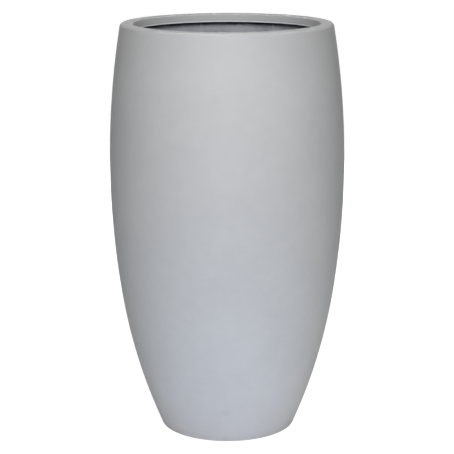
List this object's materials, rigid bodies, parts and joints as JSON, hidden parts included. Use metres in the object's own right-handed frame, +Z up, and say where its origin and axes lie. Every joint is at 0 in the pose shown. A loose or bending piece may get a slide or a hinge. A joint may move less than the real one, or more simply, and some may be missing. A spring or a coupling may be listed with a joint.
{
  "type": "tall floor planter",
  "caption": "Tall egg-shaped floor planter with a thick rounded rim, an open hollow inside, a narrow foot on pads and a lift-out drain plug.",
  "frame": {"origin": "on the ground, under the middle of the planter", "axes": "+Z up along the planter's axis of revolution; X and Y point midway between neighbouring foot pads"},
  "size_m": [0.5119, 0.512, 0.9],
  "materials": {
    "coat": "smooth matt light grey fibre clay",
    "laminate": "rough grey fibre-clay laminate",
    "glass_tape": "glass tape filled with grey resin",
    "plug_rubber": "moulded black rubber",
    "pad_rubber": "ribbed dark rubber"
  },
  "bodies": {
    "planter": {"wall_shell": "coat", "rim_collar": "coat", "floor_disc": "laminate", "floor_cove": "glass_tape", "foot_pad_1": "pad_rubber", "foot_pad_2": "pad_rubber", "foot_pad_3": "pad_rubber", "foot_pad_4": "pad_rubber"},
    "plug": {"drain_plug": "plug_rubber"}
  },
  "joints": [
    {"name": "plug_lift", "type": "slide", "parent": "planter", "child": "plug", "axis": [0, 0, 1], "range_m": [0, 0.95]}
  ]
}
